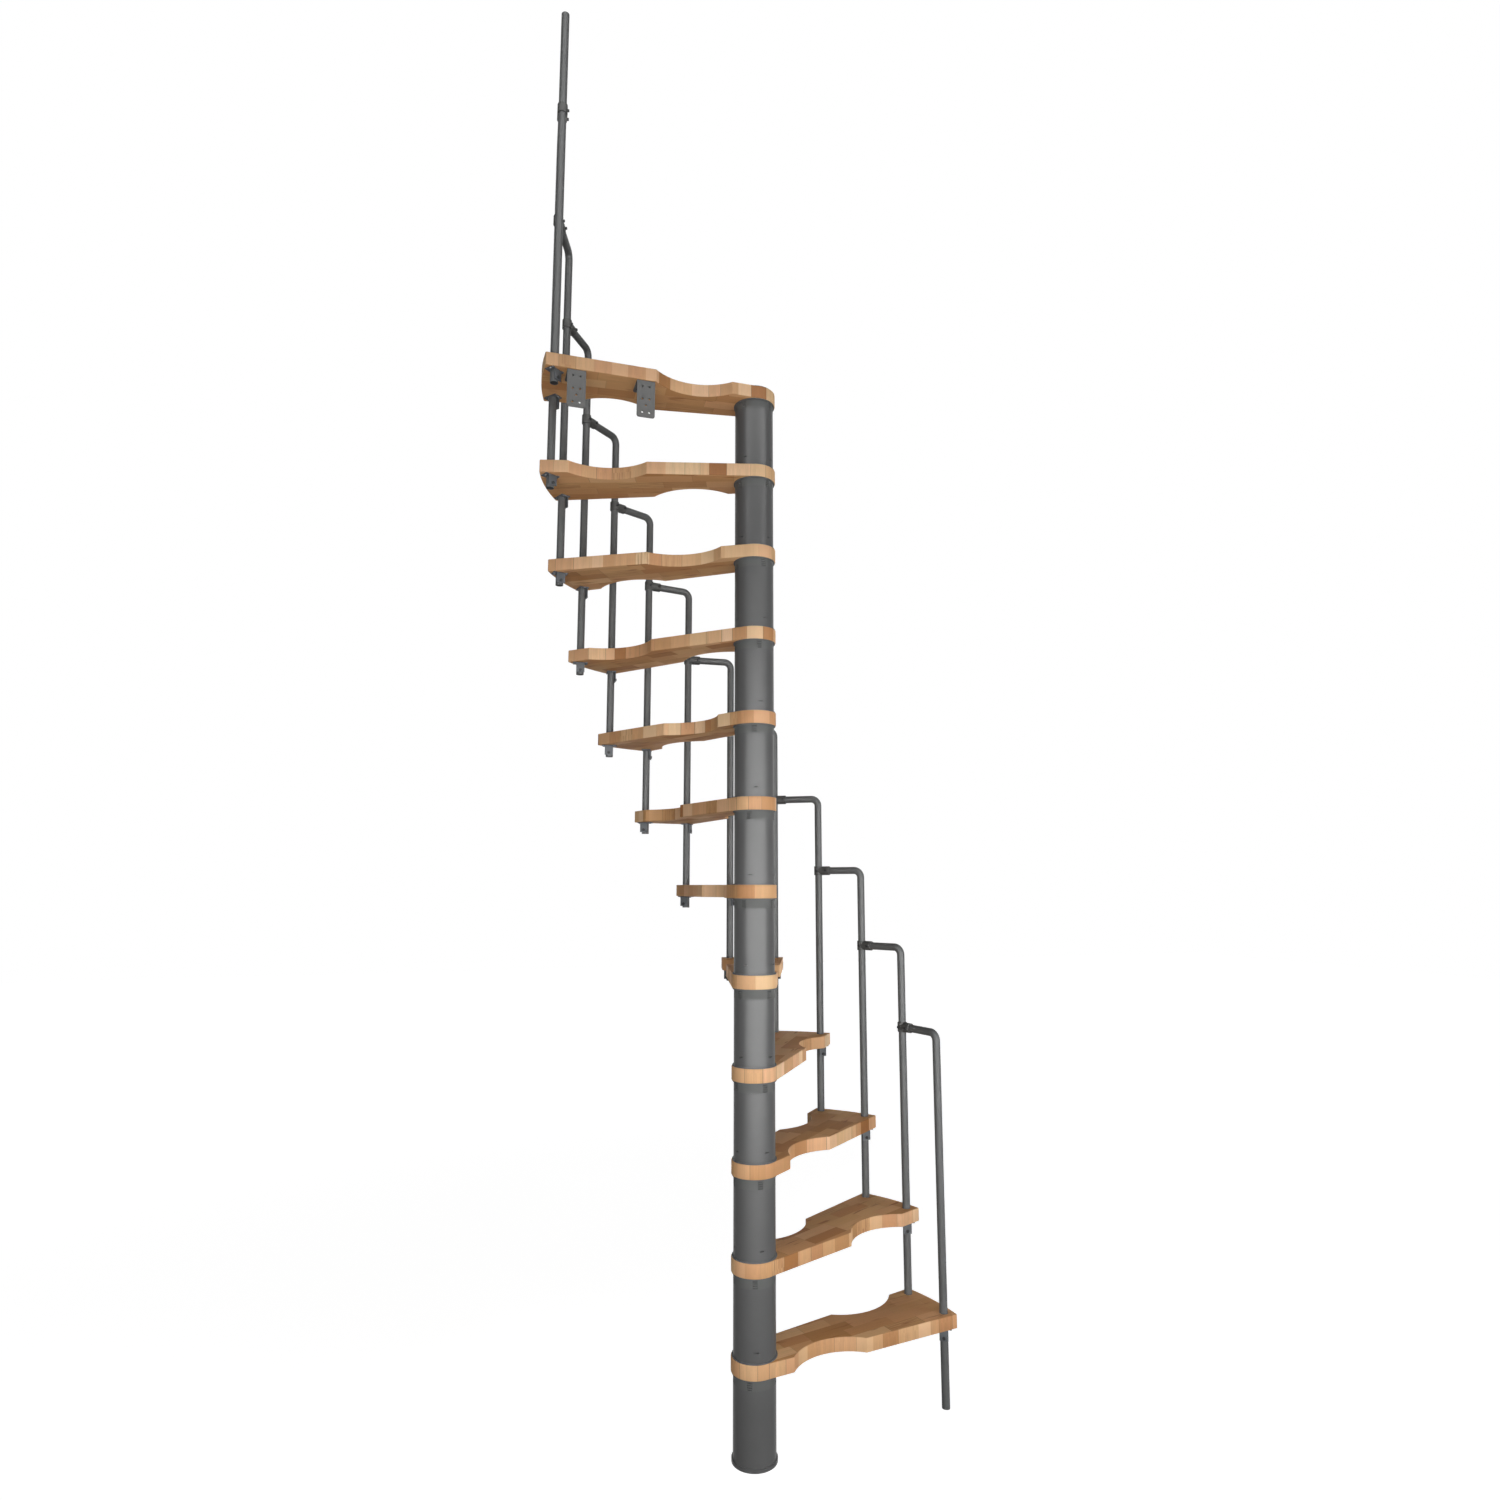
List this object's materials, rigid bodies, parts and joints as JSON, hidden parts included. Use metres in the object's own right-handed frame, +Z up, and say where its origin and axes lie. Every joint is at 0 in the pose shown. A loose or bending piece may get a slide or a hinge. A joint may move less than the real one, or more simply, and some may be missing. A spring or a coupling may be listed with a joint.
{
  "type": "winding staircase",
  "caption": "Winding stair of alternating scalloped beech treads on a stacked steel column, with bent tube balusters that form the handrail.",
  "frame": {"origin": "centre of the base disc's bottom face, on the floor, on the column's axis", "axes": "+Z up along the column; the landing side of the last tread is parallel to X and faces -Y, the last tread points to -X"},
  "size_m": [1.182, 0.651, 3.8],
  "materials": {
    "tread_beech": "edge-glued beech staves, clear satin lacquer",
    "column_coat": "grey satin powder coat",
    "lip_coat": "grey satin powder coat",
    "rail_coat": "grey satin powder coat",
    "clamp_coat": "grey satin powder coat",
    "bracket_coat": "grey satin powder coat",
    "landing_coat": "grey satin powder coat",
    "plug_plastic": "moulded black plastic",
    "rod_steel": "zinc plated"
  },
  "bodies": {
    "root": {"base_disc": "column_coat", "centre_rod": "rod_steel", "top_cap": "column_coat", "foot_rings": "lip_coat", "collars": "column_coat", "column_tube_01": "column_coat", "column_tube_02": "column_coat", "column_tube_03": "column_coat", "column_tube_04": "column_coat", "column_tube_05": "column_coat", "column_tube_06": "column_coat", "column_tube_07": "column_coat", "column_tube_08": "column_coat", "column_tube_09": "column_coat", "column_tube_10": "column_coat", "column_tube_11": "column_coat", "column_tube_12": "column_coat", "tread_01": "tread_beech", "tread_02": "tread_beech", "tread_03": "tread_beech", "tread_04": "tread_beech", "tread_05": "tread_beech", "tread_06": "tread_beech", "tread_07": "tread_beech", "tread_08": "tread_beech", "tread_09": "tread_beech", "tread_10": "tread_beech", "tread_11": "tread_beech", "tread_12": "tread_beech", "baluster_01": "rail_coat", "baluster_02": "rail_coat", "baluster_03": "rail_coat", "baluster_04": "rail_coat", "baluster_05": "rail_coat", "baluster_06": "rail_coat", "baluster_07": "rail_coat", "baluster_08": "rail_coat", "baluster_09": "rail_coat", "baluster_10": "rail_coat", "baluster_11": "rail_coat", "baluster_12": "rail_coat", "top_post": "rail_coat", "tube_plugs": "plug_plastic", "rail_clamps": "clamp_coat", "tread_brackets": "bracket_coat", "landing_plate_inner": "landing_coat", "landing_plate_outer": "landing_coat"}
  },
  "joints": []
}
